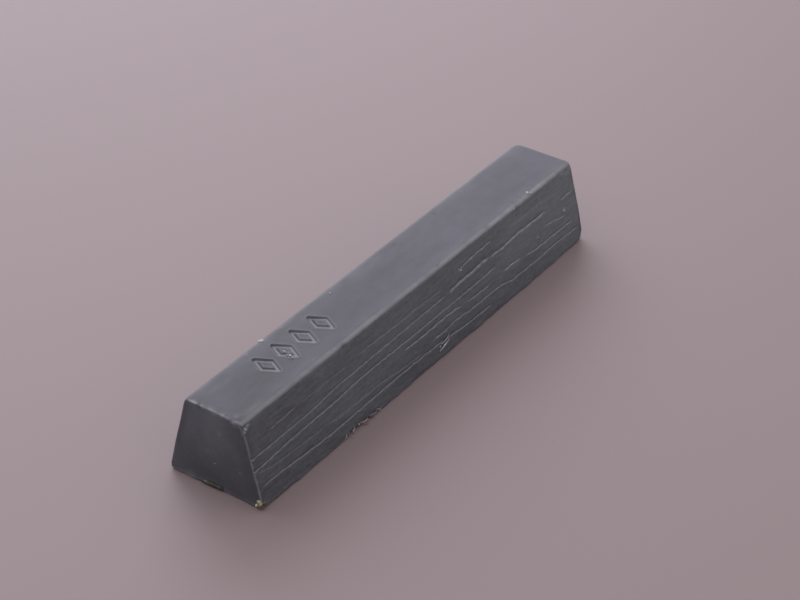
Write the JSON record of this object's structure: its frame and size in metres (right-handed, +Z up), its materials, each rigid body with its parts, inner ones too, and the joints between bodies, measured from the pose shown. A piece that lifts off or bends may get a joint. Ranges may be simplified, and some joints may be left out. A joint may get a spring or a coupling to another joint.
{
  "type": "furniture repair wax stick",
  "caption": "Tapered bar of black filler wax with rounded edges and recessed lozenge marks near one end, rubbed or melted into scratches and dents in wood.",
  "frame": {"origin": "centre of the base, the wide flat face that the stick lies on", "axes": "+X along the stick away from its marked end, +Y across it, +Z up from the base to the narrow marked top"},
  "size_m": [0.0802, 0.016, 0.0128],
  "materials": {
    "black_wax": "satin black wax with a grey bloom along its fold lines and edges",
    "wood_crumb": "olive and grey crumb of wood with cream and dark brown bits",
    "olive_wax": "thin dull smear of olive grey wax, dirty underneath",
    "thin_flash": "thin ragged wax flash, grey and pinkish, with pale tips",
    "scuffed_wax": "lifted grey wax shaving with a pale torn edge",
    "pale_dust": "pale dull dust and wax specks"
  },
  "bodies": {
    "root": {"wax_bar": "black_wax", "corner_crumb": "wood_crumb", "end_smears": "olive_wax", "base_flakes": "thin_flash", "side_shaving": "scuffed_wax", "surface_specks": "pale_dust"}
  },
  "joints": []
}
